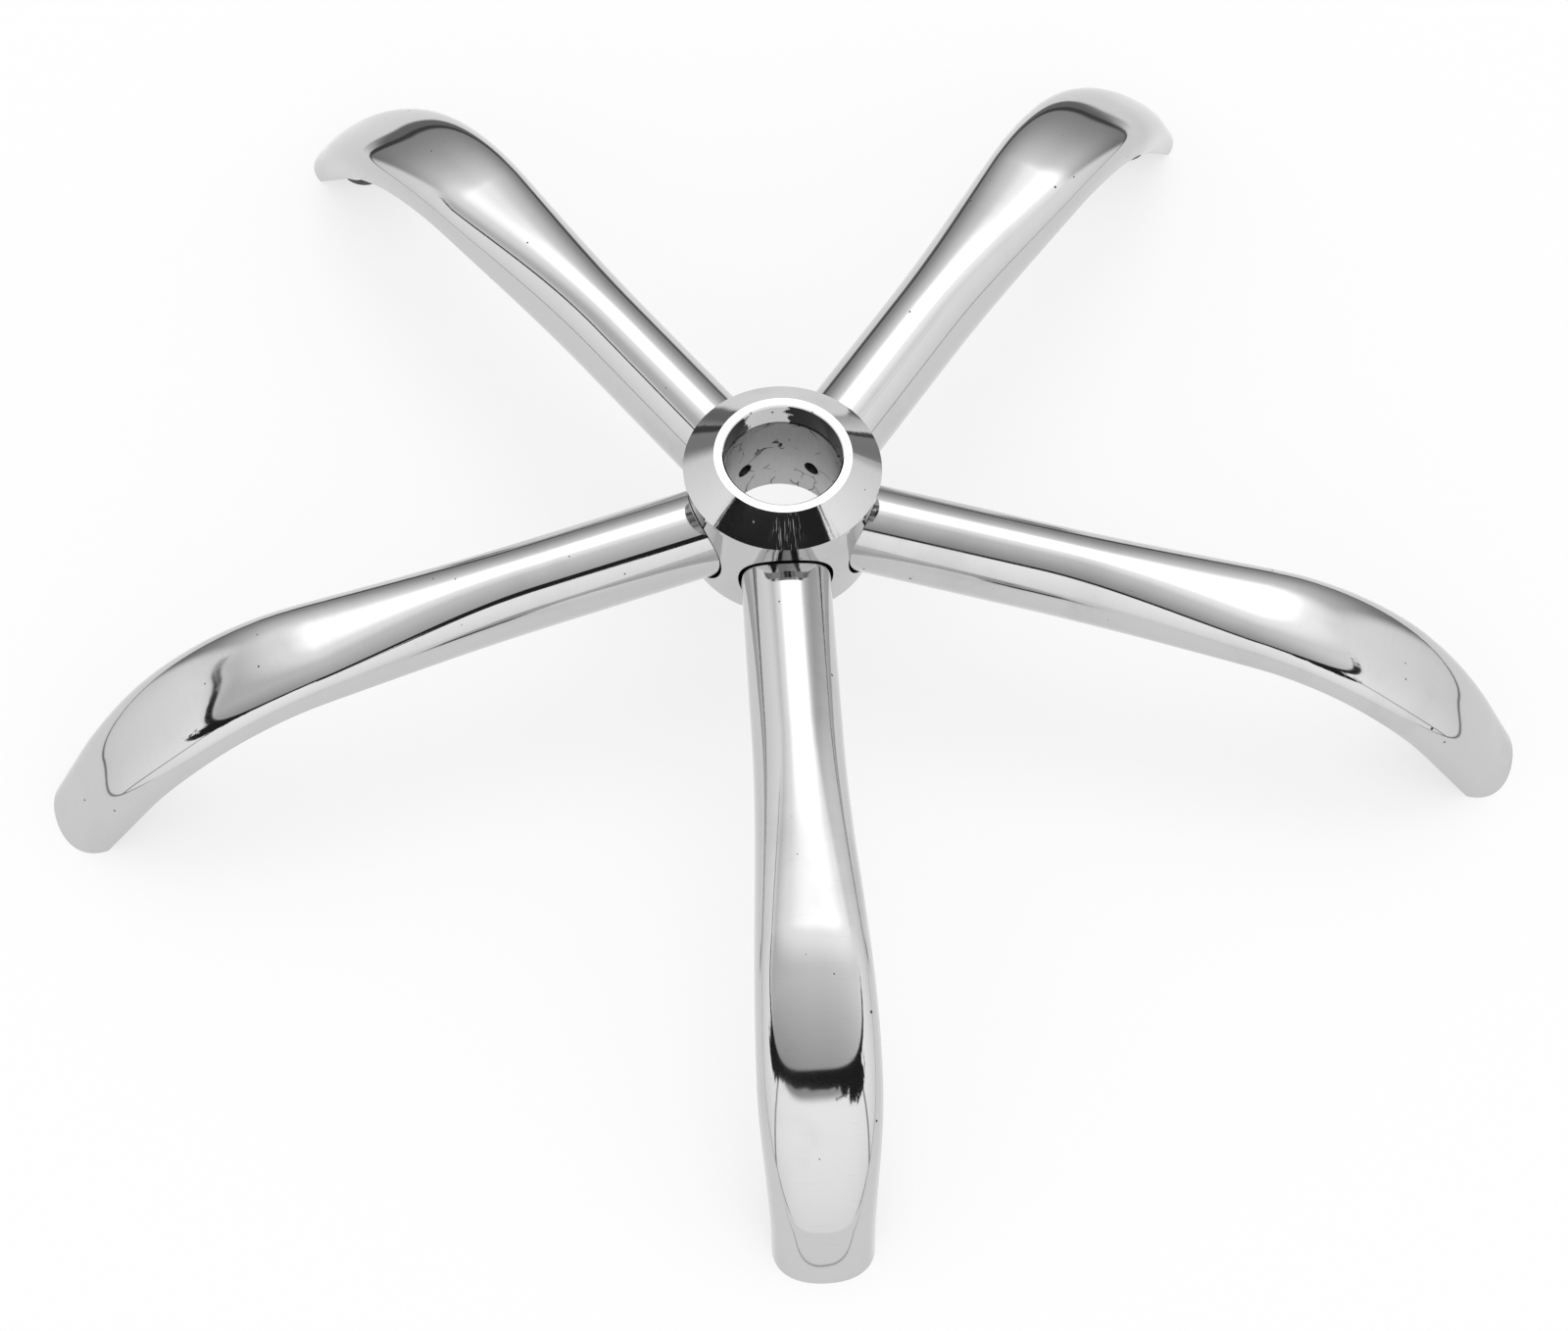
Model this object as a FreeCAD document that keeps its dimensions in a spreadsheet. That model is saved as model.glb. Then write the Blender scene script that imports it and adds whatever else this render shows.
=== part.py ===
import FreeCAD, Part
import math
import os
import Sketcher

# Five-star base of an office chair: a turned hub on a steel bore sleeve, five pressed tube arms
# and a caster sleeve under the end of each arm.
# Frame: +Z up on the axis of the column bore, origin where the axes of the arms cross it.
# Arm 1 lies along -Y and the others follow it anticlockwise, seen from above.

document = FreeCAD.newDocument("five_star_base")
sizes = document.addObject("Spreadsheet::Sheet", "sizes")

DIMENSIONS = [
    # straight part of the arms
    ("axis_height", 68.5, "height of its axis above the surface that the arm ends stand on"),
    ("tube_radius", 19.0, "outside of the round part of an arm"),
    ("tube_wall", 1.8, "wall of the arm's tube"),
    # hub and collar
    ("hub_rise", 20.5, "flat top ring above the tops of the tubes"),
    ("hub_skirt", 2.5, "lower edge of the hub below the tubes"),
    ("bore_radius", 25.0, "polished wall of the column bore, below its chamfer"),
    ("mouth_chamfer", 0.7, "chamfer round the bore's mouth"),
    ("ring_width", 3.5, "flat top ring, outside the chamfer"),
    ("hub_web", 6.0, "hub outside the point where two of its cut-outs would meet"),
    ("collar_overhang", 1.6, "collar beyond the hub below it"),
    ("bevel_drop", 9.2, "height of the collar's bevel"),
    ("collar_land", 2.0, "upright edge below the bevel"),
    ("collar_bore_depth", 12.0, "polished part of the bore, above the sleeve"),
    ("hub_chamfer", 1.6, "chamfer round the hub's lower edge"),
    ("scallop_clearance", 1.2, "gap between the hub's cut-outs and the arms"),
    # steel sleeve in the hub
    ("sleeve_bore_radius", 24.5, "wall that grips the gas column"),
    ("sleeve_wall", 4.2, "thickness of the bore sleeve"),
    ("sleeve_lift", 1.5, "lower edge of the bore sleeve above the undersides of the tubes"),
    ("vent_radius", 3.5, "hole from the bore into each arm"),
    # arms
    ("arm_count", 5, "arms round the hub"),
    ("seam_gap", 0.2, "gap between the mitred inner ends of two arms"),
    ("press_start", 112.0, "distance from the bore axis where the pressing begins"),
    ("bend_start", 209.0, "distance from the bore axis where the bend begins"),
    ("bend_radius", 110.0, "radius of the bend, on the tube's axis"),
    ("bend_angle", 60.0, "slope of the arm's end below level"),
    ("crown_half_width", 25.2, "half width of the arm at the middle of its bend"),
    ("crown_half_height", 10.8, "half thickness of the arm at the middle of its bend"),
    ("crown_fullness", 1.0, "corner weight of the arm's oval section there, 0.707 for an ellipse"),
    ("tip_half_width", 20.8, "half width of the arm where it meets the ground"),
    ("tip_half_height", 14.0, "half thickness of the arm where it meets the ground"),
    ("tip_fullness", 0.9, "corner weight of the oval section where the arm meets the ground"),
    ("mouth_angle", 47.0, "slope of the opening cut under the arm's end"),
    ("mouth_height", 27.0, "height of the opening above the ground"),
    # caster sleeves
    ("caster_inset", 7.057, "a caster's axis inside the point where the arm's axis meets the ground"),
    ("caster_sleeve_radius", 11.0, "outside of a caster sleeve"),
    ("caster_recess", 2.0, "height of a caster sleeve's foot above the ground"),
    ("caster_bore_radius", 5.5, "bore for the caster's stem"),
    ("caster_bore_depth", 23.0, "depth of that bore"),
    # worked out from the sizes above
    ("ring_radius", "=bore_radius + mouth_chamfer + ring_width", "outer edge of the flat top ring"),
    ("cut_out_radius", "=tube_radius + scallop_clearance", "cut-out of the hub round an arm"),
    ("body_radius", "=cut_out_radius / sin(180 / arm_count) + hub_web", "hub below the collar"),
    ("collar_radius", "=body_radius + collar_overhang", "outer edge of the collar's bevel"),
    ("hub_top_height", "=axis_height + tube_radius + hub_rise", "flat ring on top of the hub"),
    ("hub_bottom_height", "=axis_height - tube_radius - hub_skirt", "lower edge of the hub"),
    ("sleeve_bottom_height", "=axis_height - tube_radius + sleeve_lift", "lower edge of the sleeve"),
    ("bend_end_radius", "=bend_start + bend_radius * sin(bend_angle)", "outer end of the bend"),
    ("bend_end_height", "=axis_height - bend_radius * (1 - cos(bend_angle))", "height of that end"),
    ("foot_radius", "=bend_end_radius + bend_end_height / tan(bend_angle)", "arm's axis at the ground"),
    ("caster_circle_radius", "=foot_radius - caster_inset", "distance from the bore to a caster"),
]

for row, (alias, value, meaning) in enumerate(DIMENSIONS, start=1):
    sizes.set(f"A{row}", alias.replace("_", " "))
    sizes.set(f"B{row}", str(value))
    sizes.set(f"C{row}", meaning)
    sizes.setAlias(f"B{row}", alias)
document.recompute()


def size(alias):
    """One driving dimension, read from the sheet."""
    return float(sizes.get(alias))


ARM_COUNT = int(size("arm_count"))
ARM_STEP = 360.0 / ARM_COUNT
FLOOR = -size("axis_height")
UP = FreeCAD.Vector(0, 0, 1)


# Sketches and turned bodies

def origin_feature(body, role):
    """The plane or axis of a body's own origin that has this role."""
    return next(item for item in body.Origin.OriginFeatures if item.Role == role)


def new_body(label):
    """A body whose own zero height is the ground that the base stands on."""
    body = document.addObject("PartDesign::Body", label)
    body.Label = label
    body.setExpression("Placement.Base.z", "-sizes.axis_height")
    return body


def upright_sketch(body, name):
    """A sketch on the body's XZ plane: across is the radius, up is the height."""
    sketch = body.newObject("Sketcher::SketchObject", name)
    sketch.AttachmentSupport = [(origin_feature(body, "XZ_Plane"), "")]
    sketch.MapMode = "FlatFace"
    return sketch


def bind(sketch, constraint, expression):
    """Add a dimension to a sketch and tie it to the sheet."""
    index = sketch.addConstraint(constraint)
    sketch.setExpression(f"Constraints[{index}]", expression)


def turned(body, name, corners):
    """Revolve a closed outline whose corners are pairs of expressions, radius and height."""
    sketch = upright_sketch(body, name + "_outline")
    values = [tuple(sketch.evalExpression(text) for text in corner) for corner in corners]
    points = [FreeCAD.Vector(float(radius), float(height), 0) for radius, height in values]
    count = len(points)
    for index in range(count):
        sketch.addGeometry(Part.LineSegment(points[index], points[(index + 1) % count]), False)
    for index in range(count):
        sketch.addConstraint(Sketcher.Constraint("Coincident", index, 2, (index + 1) % count, 1))
    for index, (radius, height) in enumerate(corners):
        bind(sketch, Sketcher.Constraint("DistanceX", -1, 1, index, 1, points[index].x), radius)
        bind(sketch, Sketcher.Constraint("DistanceY", -1, 1, index, 1, points[index].y), height)
    revolution = body.newObject("PartDesign::Revolution", name)
    revolution.Profile = sketch
    revolution.ReferenceAxis = (sketch, ["V_Axis"])
    revolution.Angle = 360.0
    document.recompute()


def radial_holes(body, name, radius):
    """Cut one round hole outward along each arm's axis."""
    sketch = upright_sketch(body, name + "_circle")
    centre = FreeCAD.Vector(0, size("axis_height"), 0)
    sketch.addGeometry(Part.Circle(centre, FreeCAD.Vector(0, 0, 1), 1.0), False)
    sketch.addConstraint(Sketcher.Constraint("PointOnObject", 0, 3, -2))
    bind(sketch, Sketcher.Constraint("DistanceY", -1, 1, 0, 3, centre.y), "sizes.axis_height")
    bind(sketch, Sketcher.Constraint("Radius", 0, 1.0), radius)
    pocket = body.newObject("PartDesign::Pocket", name)
    pocket.Profile = sketch
    pocket.Type = "ThroughAll"
    pocket.Reversed = True
    before = body.Shape.Volume
    document.recompute()
    if not pocket.Shape.Volume < before:
        raise RuntimeError(f"{name} cuts nothing")
    pattern = body.newObject("PartDesign::PolarPattern", name + "_round")
    pattern.Originals = [pocket]
    pattern.Axis = (origin_feature(body, "Z_Axis"), [""])
    pattern.Angle = 360.0
    pattern.setExpression("Occurrences", "sizes.arm_count")
    body.Tip = pattern
    document.recompute()


def make_hub_body():
    """Turned hub with a bevelled collar, cut out round the five arms."""
    body = new_body("hub_body")
    land_top = "sizes.hub_top_height - sizes.bevel_drop"
    land_foot = land_top + " - sizes.collar_land"
    sleeve_radius = "sizes.sleeve_bore_radius + sizes.sleeve_wall"
    sleeve_top = "sizes.hub_top_height - sizes.collar_bore_depth"
    turned(body, "hub_turning", [
        ("sizes.bore_radius", "sizes.hub_top_height - sizes.mouth_chamfer"),
        ("sizes.bore_radius + sizes.mouth_chamfer", "sizes.hub_top_height"),
        ("sizes.ring_radius", "sizes.hub_top_height"),
        ("sizes.collar_radius", land_top),
        ("sizes.collar_radius", land_foot),
        ("sizes.body_radius", land_foot),
        ("sizes.body_radius", "sizes.hub_bottom_height + sizes.hub_chamfer"),
        ("sizes.body_radius - sizes.hub_chamfer", "sizes.hub_bottom_height"),
        (sleeve_radius, "sizes.hub_bottom_height"),
        (sleeve_radius, sleeve_top),
        ("sizes.bore_radius", sleeve_top),
    ])
    radial_holes(body, "arm_scallop", "sizes.cut_out_radius")
    return body


def make_bore_sleeve():
    """Steel sleeve that grips the gas column, with a hole into each arm."""
    body = new_body("bore_sleeve")
    sleeve_radius = "sizes.sleeve_bore_radius + sizes.sleeve_wall"
    sleeve_top = "sizes.hub_top_height - sizes.collar_bore_depth"
    turned(body, "sleeve_turning", [
        ("sizes.sleeve_bore_radius", sleeve_top),
        (sleeve_radius, sleeve_top),
        (sleeve_radius, "sizes.sleeve_bottom_height"),
        ("sizes.sleeve_bore_radius", "sizes.sleeve_bottom_height"),
    ])
    radial_holes(body, "vent_hole", "sizes.vent_radius")
    return body


# Arms: a bent tube pressed from round to flat, worked out along its own path

PATH_INNER = size("sleeve_bore_radius")
BEND_ANGLE = math.radians(size("bend_angle"))
STRAIGHT_LENGTH = size("bend_start") - PATH_INNER
BEND_LENGTH = size("bend_radius") * BEND_ANGLE
TIP_LENGTH = size("bend_end_height") / math.sin(BEND_ANGLE)
TIP_ALLOWANCE = 2 * size("tip_half_height")
PATH_LENGTH = STRAIGHT_LENGTH + BEND_LENGTH + TIP_LENGTH + TIP_ALLOWANCE
MOUTH_RADIUS = size("foot_radius")
SECTION_SPACING = 15.0
ROUND_FULLNESS = math.sqrt(0.5)
# A section is four quarter curves, each drawn between two sides of its box round the corner.
OVAL_CORNERS = [(1, 0), (1, 1), (0, 1), (-1, 1), (-1, 0), (-1, -1), (0, -1), (1, -1), (1, 0)]
OVAL_KNOTS = [0, 1, 2, 3, 4]
OVAL_MULTIPLICITIES = [3, 2, 2, 2, 3]


def path_point(distance):
    """Radius, height and slope of the arm's axis at a distance along it."""
    bent = min(max(distance - STRAIGHT_LENGTH, 0.0), BEND_LENGTH)
    beyond = max(distance - STRAIGHT_LENGTH - BEND_LENGTH, 0.0)
    slope = bent / size("bend_radius")
    radius = PATH_INNER + min(distance, STRAIGHT_LENGTH)
    radius += size("bend_radius") * math.sin(slope) + beyond * math.cos(slope)
    height = -size("bend_radius") * (1 - math.cos(slope)) - beyond * math.sin(slope)
    return radius, height, slope


def eased(distance, start, end):
    """Rise smoothly from 0 to 1 between two distances along the path."""
    share = min(max((distance - start) / (end - start), 0.0), 1.0)
    return 0.5 - 0.5 * math.cos(math.pi * share)


def pressed_section(distance):
    """Half width, half thickness and corner weight of the tube at a distance along its axis."""
    pressed_from = size("press_start") - PATH_INNER
    crown = STRAIGHT_LENGTH + BEND_LENGTH / 2
    ground = STRAIGHT_LENGTH + BEND_LENGTH + TIP_LENGTH
    pressed = eased(distance, pressed_from, crown)
    narrowed = eased(distance, crown, ground)
    width = size("tube_radius") + pressed * (size("crown_half_width") - size("tube_radius"))
    width -= narrowed * (size("crown_half_width") - size("tip_half_width"))
    height = size("tube_radius") + pressed * (size("crown_half_height") - size("tube_radius"))
    height -= narrowed * (size("crown_half_height") - size("tip_half_height"))
    fullness = ROUND_FULLNESS + pressed * (size("crown_fullness") - ROUND_FULLNESS)
    fullness -= narrowed * (size("crown_fullness") - size("tip_fullness"))
    return width, height, fullness


def arm_section(distance, inset):
    """Oval square to the arm's axis, fuller at its corners than an ellipse and smaller by the inset."""
    radius, height, slope = path_point(distance)
    width, thickness, fullness = pressed_section(distance)
    centre = FreeCAD.Vector(0, -radius, height)
    across = (width - inset) * FreeCAD.Vector(1, 0, 0)
    upright = (thickness - inset) * FreeCAD.Vector(0, -math.sin(slope), math.cos(slope))
    poles = [centre + side * across + lift * upright for side, lift in OVAL_CORNERS]
    weights = [fullness if side and lift else 1.0 for side, lift in OVAL_CORNERS]
    curve = Part.BSplineCurve()
    curve.buildFromPolesMultsKnots(poles, OVAL_MULTIPLICITIES, OVAL_KNOTS, False, 2, weights)
    return Part.Wire([curve.toShape()])


def arm_loft(inset):
    """Solid through sections spaced evenly along the arm."""
    count = round(PATH_LENGTH / SECTION_SPACING)
    wires = [arm_section(PATH_LENGTH * index / count, inset) for index in range(count + 1)]
    return Part.makeLoft(wires, True, False)


def ground_cut():
    """Everything below the ground that the arm end stands on."""
    reach = MOUTH_RADIUS + TIP_ALLOWANCE
    width = 2 * size("crown_half_width")
    corner = FreeCAD.Vector(-width, -2 * reach, FLOOR - reach)
    return Part.makeBox(2 * width, 2 * reach, reach, corner)


def mouth_cut():
    """Prism that opens the underside of the arm's end, in front of the caster."""
    rise = size("mouth_height")
    run = rise / math.tan(math.radians(size("mouth_angle")))
    below = size("tube_wall")
    inner = size("bend_start")
    outline = [
        (MOUTH_RADIUS + below / math.tan(math.radians(size("mouth_angle"))), -below),
        (MOUTH_RADIUS - run, rise),
        (inner, rise),
        (inner, -below),
    ]
    width = 2 * size("crown_half_width")
    points = [FreeCAD.Vector(-width, -radius, FLOOR + height) for radius, height in outline]
    face = Part.Face(Part.makePolygon(points + points[:1]))
    return face.extrude(FreeCAD.Vector(2 * width, 0, 0))


def sleeve_cope():
    """Cylinder of the bore sleeve's outside, that the arm's inner end is cut to."""
    radius = size("sleeve_bore_radius") + size("sleeve_wall")
    length = 2 * size("hub_top_height")
    return Part.makeCylinder(radius, length, FreeCAD.Vector(0, 0, -length / 2), UP)


def mitre_wedge():
    """Room that arm 1 has between its neighbours, less half a seam on each side."""
    half_step = math.radians(ARM_STEP / 2)
    apex = size("seam_gap") / (2 * math.sin(half_step))
    width = 2 * size("crown_half_width")
    shoulder = apex + width / math.tan(half_step)
    far = 2 * (MOUTH_RADIUS + TIP_ALLOWANCE)
    outline = [(0, apex), (-width, shoulder), (-width, far), (width, far), (width, shoulder)]
    height = 2 * size("hub_top_height")
    points = [FreeCAD.Vector(across, -radius, -height) for across, radius in outline]
    face = Part.Face(Part.makePolygon(points + points[:1]))
    return face.extrude(2 * height * UP)


def arm_tube_shape():
    """Arm 1 with its ends cut: mitred and coped at the hub, level with the ground, open below."""
    ends = [sleeve_cope(), ground_cut(), mouth_cut()]
    bar = arm_loft(0.0).common(mitre_wedge()).cut(ends)
    return bar.cut(arm_loft(size("tube_wall")))


def caster_sleeve_shape(arm):
    """Upright socket from the ground to the inside of the arm, with a blind bore for the stem."""
    foot = FreeCAD.Vector(0, -size("caster_circle_radius"), FLOOR + size("caster_recess"))
    length = size("hub_top_height")
    outside = Part.makeCylinder(size("caster_sleeve_radius"), length, foot, UP)
    pieces = outside.cut(arm).Solids
    lowest = min(pieces, key=lambda piece: piece.CenterOfMass.z)
    bore = Part.makeCylinder(size("caster_bore_radius"), size("caster_bore_depth"), foot, UP)
    return lowest.cut(bore)


def place_round_hub(label, shape, number):
    """One copy of a shape, turned about the bore axis to its arm's place."""
    feature = document.addObject("Part::Feature", label)
    feature.Label = label
    feature.Shape = shape
    feature.setExpression("Placement.Rotation.Angle", f"{number} * 360 / sizes.arm_count")
    feature.Placement = FreeCAD.Placement(FreeCAD.Vector(0, 0, 0), FreeCAD.Rotation(UP, number * ARM_STEP))
    return feature


def make_arms():
    """All arms with their caster sleeves."""
    arm = arm_tube_shape()
    sleeve = caster_sleeve_shape(arm)
    arms = [place_round_hub(f"arm_tube_{number + 1}", arm.copy(), number) for number in range(ARM_COUNT)]
    sleeves = [place_round_hub(f"caster_sleeve_{number + 1}", sleeve.copy(), number)
               for number in range(ARM_COUNT)]
    return arms + sleeves


nodes = [make_hub_body(), make_bore_sleeve()] + make_arms()
document.recompute()

for item in document.Objects:
    if "Invalid" in item.State or "Error" in item.State:
        raise RuntimeError(f"{item.Label} did not recompute: {item.State}")
for node in nodes:
    if node.Shape.isNull() or not node.Shape.isValid():
        raise RuntimeError(f"{node.Label} has no valid shape")
    if len(node.Shape.Solids) != 1:
        raise RuntimeError(f"{node.Label} is not one solid")

os.makedirs("parts", exist_ok=True)
for node in nodes:
    node.Shape.exportStep(f"parts/{node.Label}.step")
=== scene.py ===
"""Chromed five star base of an office chair, seen from above and in front.

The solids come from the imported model. This file gives them their finishes, lays the weld beads
round the caster sleeves, and sets up the floor, the light tent and the camera.
"""
import math
from functools import partial

import bpy
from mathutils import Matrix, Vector


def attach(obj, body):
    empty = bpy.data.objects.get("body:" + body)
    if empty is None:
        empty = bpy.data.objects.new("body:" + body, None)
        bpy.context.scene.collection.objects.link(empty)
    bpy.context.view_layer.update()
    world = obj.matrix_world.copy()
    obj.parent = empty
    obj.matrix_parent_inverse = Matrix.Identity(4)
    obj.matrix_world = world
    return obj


bl_info = {
    "name": "Five Star Chair Base",
    "version": (1, 0, 0),
    "blender": (4, 5, 0),
    "location": "View3D > Sidebar > Chair Base",
    "description": "Finishes and studio of a chromed five star chair base",
    "category": "Object",
}

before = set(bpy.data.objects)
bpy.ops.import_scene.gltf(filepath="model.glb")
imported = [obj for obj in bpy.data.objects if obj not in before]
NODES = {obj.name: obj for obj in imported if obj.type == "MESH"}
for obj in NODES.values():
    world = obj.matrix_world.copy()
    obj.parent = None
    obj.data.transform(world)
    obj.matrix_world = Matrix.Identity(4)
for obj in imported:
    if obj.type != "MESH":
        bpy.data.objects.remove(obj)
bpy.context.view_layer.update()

MM = 0.001
SMOOTH = {"interpolation_type": "SMOOTHSTEP"}
WHITE = (1.0, 1.0, 1.0, 1.0)
CLOTH_BLACK = (0.02, 0.02, 0.02, 1.0)

ARM_COUNT = 5
ARM_STEP = 360.0 / ARM_COUNT
FIRST_ARM_ANGLE = -90.0
FLOOR_HEIGHT = -68.5 * MM

# How much of the floor's white is its own to the camera, so that its shadow stays soft.
FLOOR_GLOW = 0.7

# What the chrome mirrors of the table, in metres, painted into the floor as a reflection that
# only glossy rays see: the dark line of its front edge, which runs back by its sweep for each
# metre aside, and the dark, shaded gap behind the table, which fades out between two shares of
# the distance aside to the distance behind.
TABLE_FRONT = -0.40
TABLE_SWEEP = 0.7
TABLE_EDGE = 0.006
TABLE_EDGE_DARK = 0.85
TABLE_BACK = 0.62
TABLE_BACK_FADE = 0.12
TABLE_BACK_DARK = 0.9
TABLE_BACK_SIDES = (0.4, 0.85)

# The tent's roof, as levels of light: at its middle, how much more of it there is to the right,
# how much less towards the camera, and the least. The bright panel is up behind the base, a
# little to the right, wider than it is high. Its core and its halo each fade between two
# distances from its middle, and add the third number there.
ROOF_LEVEL = 0.85
ROOF_RIGHT = 0.28
ROOF_FRONT = 0.7
ROOF_LEAST = 0.03
PANEL_WAY = (0.116, 0.547, 0.829)
PANEL_SHAPE = (0.65, 1.0, 1.0)
PANEL_CORE = (0.16, 0.32, 0.90)
PANEL_HALO = (0.30, 0.56, 0.45)

# The tent's walls, as levels of light: at their foot, how they rise with height, and how they
# fall towards the back. Straight behind, in degrees, hangs a greyer cloth.
WALL_LEVEL = 0.98
WALL_UP = 0.35
WALL_BACK = -0.15
GREY_LEVEL = 0.34
GREY_UP = 1.7
GREY_MIDDLE = 5.0
GREY_SIDES = (46.0, 58.0)
GREY_DIM = (20.0, 50.0, 0.75)

# The tent's seams, in degrees: the one along the foot of the walls with its half widths at the
# sides and behind, and the ones that climb on either side in front, with their lean.
FOOT_SEAM = 0.6
FOOT_SEAM_WIDTHS = (0.9, 3.5)
FOOT_SEAM_DARK = 0.8
SIDE_SEAM = 122.0
SIDE_SEAM_LEAN = -0.25
SIDE_SEAM_DARK = 0.7

# Where the roof meets the walls, in degrees up, and half the width of that change: in front and
# behind.
ROOF_EDGE = (51.0, 43.0)
ROOF_EDGE_SOFT = (1.5, 6.0)

# The dark cloth is part of a flat oval ring overhead, in metres. Its outer edge is a share of
# the inner one: in the wide part, in the thin tails at its ends, and how much it flares between.
CARD_SIDE = 6.4
CARD_HEIGHT = 1.8
CARD_CENTRE = 0.39
CARD_HALF_WIDTH = 2.0
CARD_HALF_DEPTH = 1.71
CARD_OUTER = 1.155
CARD_TAIL = 1.10
CARD_FLARE = 0.30
# Where along the ring, in degrees from the front: how far it is turned aside, where it flares,
# where the tails begin, how the tear's depth changes there, and where the tails run out.
CARD_TURN = 12.0
CARD_FLARE_PLACE = (14.0, 48.0)
CARD_TAIL_PLACE = (63.0, 65.0)
CARD_TEAR_PLACE = (58.0, 66.0)
CARD_TEAR = (0.06, 0.03)
CARD_TEAR_TURN = 40.0
CARD_TEAR_SCALE = 7.0
CARD_END = (98.0, 112.0)

# Sizes of the tubular arms, in millimetres, as the source of the solids gives them.
PRESS_START = 112.0
BEND_START = 209.0
BEND_RADIUS = 110.0
BEND_ANGLE = math.radians(60.0)
CROWN = BEND_START + BEND_RADIUS * BEND_ANGLE / 2
FOOT = BEND_START + BEND_RADIUS * BEND_ANGLE + 15.6
HALF_WALL = 0.9
ROUND_HALF = 19.0
CROWN_HALF_WIDTH = 25.2
CROWN_HALF_HEIGHT = 10.8
TIP_HALF_WIDTH = 20.8
TIP_HALF_HEIGHT = 14.0
CROWN_SQUARENESS = 2.41
TIP_SQUARENESS = 2.27
CASTER_CIRCLE = 305.0
CASTER_SLEEVE_RADIUS = 11.0

# The pressed part is shaded as a slightly squarer oval than it is, because that is what the
# photograph's reflections show. The worked-out direction is used where it agrees with the mesh's,
# as told by the cosine of the angle between them.
PRESS_CREASE = 0.5
SAME_WAY = 0.86

# Sizes of the hub, in millimetres, from the same source.
MOUTH_RADIUS = 25.0
CUT_OUT_RADIUS = 20.2
BODY_RADIUS = 40.37
COLLAR_RADIUS = 42.0

# Marks on the hub, in millimetres. The grease leaves a gap on each side of a middle that lies to
# the left, and its edges are torn by noise. The scrapes thin out between two bearings, in radians.
GREASE_MIDDLE = -5.0
GREASE_GAP = 9.0
GREASE_TEAR = 11.0
SCRAPE_WIDTH = 0.35
SCRAPE_SIDES = (0.10, 0.24)

# A weld bead's facets round and along it, how far it sits out from the sleeve's wall as a share
# of its radius, and how many ripples it has and how high, as a share of its height.
WELD_STEPS = 96
WELD_FACETS = 10
WELD_OFFSET = 0.3
WELD_RIPPLES = 24
WELD_RIPPLE = 0.18


def linear(hex_colour):
    """Turn an sRGB hex colour into the linear one that the shaders take."""
    parts = [int(hex_colour[i : i + 2], 16) / 255.0 for i in (1, 3, 5)]
    return tuple(p / 12.92 if p <= 0.04045 else ((p + 0.055) / 1.055) ** 2.4 for p in parts)


def rgba(colour):
    """The same colour with full alpha, as colour sockets take it."""
    return (colour[0], colour[1], colour[2], 1.0)


def add_node(tree, kind, *sources, **settings):
    """Add a node, set its options, and feed its inputs with values or links.

    Sources go to the inputs in use, in their order, and a dictionary to the inputs that it names.
    A node given as a source stands for its first output in use.
    """
    node = tree.nodes.new("ShaderNode" + kind)
    for name, value in settings.items():
        setattr(node, name, value)
    feeds = []
    if sources and isinstance(sources[0], dict):
        feeds = [(node.inputs[name], source) for name, source in sources[0].items()]
    else:
        feeds = zip([socket for socket in node.inputs if socket.enabled], sources)
    for socket, source in feeds:
        if isinstance(source, bpy.types.Node):
            source = next(output for output in source.outputs if output.enabled)
        if isinstance(source, bpy.types.NodeSocket):
            tree.links.new(source, socket)
        else:
            socket.default_value = source
    return node


def new_material(name):
    material = bpy.data.materials.new(name)
    material.use_nodes = True
    material.node_tree.nodes.clear()
    return material


def lay_metal(add, colour, rough, relief, smooth=None):
    """End the nodes of a metal: its relief as a bump, its shader and the output."""
    bump = {"Strength": 1.0, "Distance": 1.0, "Height": relief}
    if smooth is not None:
        bump["Normal"] = smooth
    bump = add("Bump", bump)
    metal = {"Base Color": colour, "Metallic": 1.0, "Roughness": rough, "Normal": bump}
    metal = add("BsdfPrincipled", metal)
    add("OutputMaterial", {"Surface": metal})


def object_place(add, scale=(1.0, 1.0, 1.0), turn=0.0):
    """Object coordinates, turned about the bore axis and then stretched."""
    place = add("TexCoord").outputs["Object"]
    if turn:
        links = {"Vector": place, "Rotation": (0.0, 0.0, math.radians(turn))}
        place = add("Mapping", links)
    links = {"Vector": place, "Scale": scale}
    return add("Mapping", links)


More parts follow.
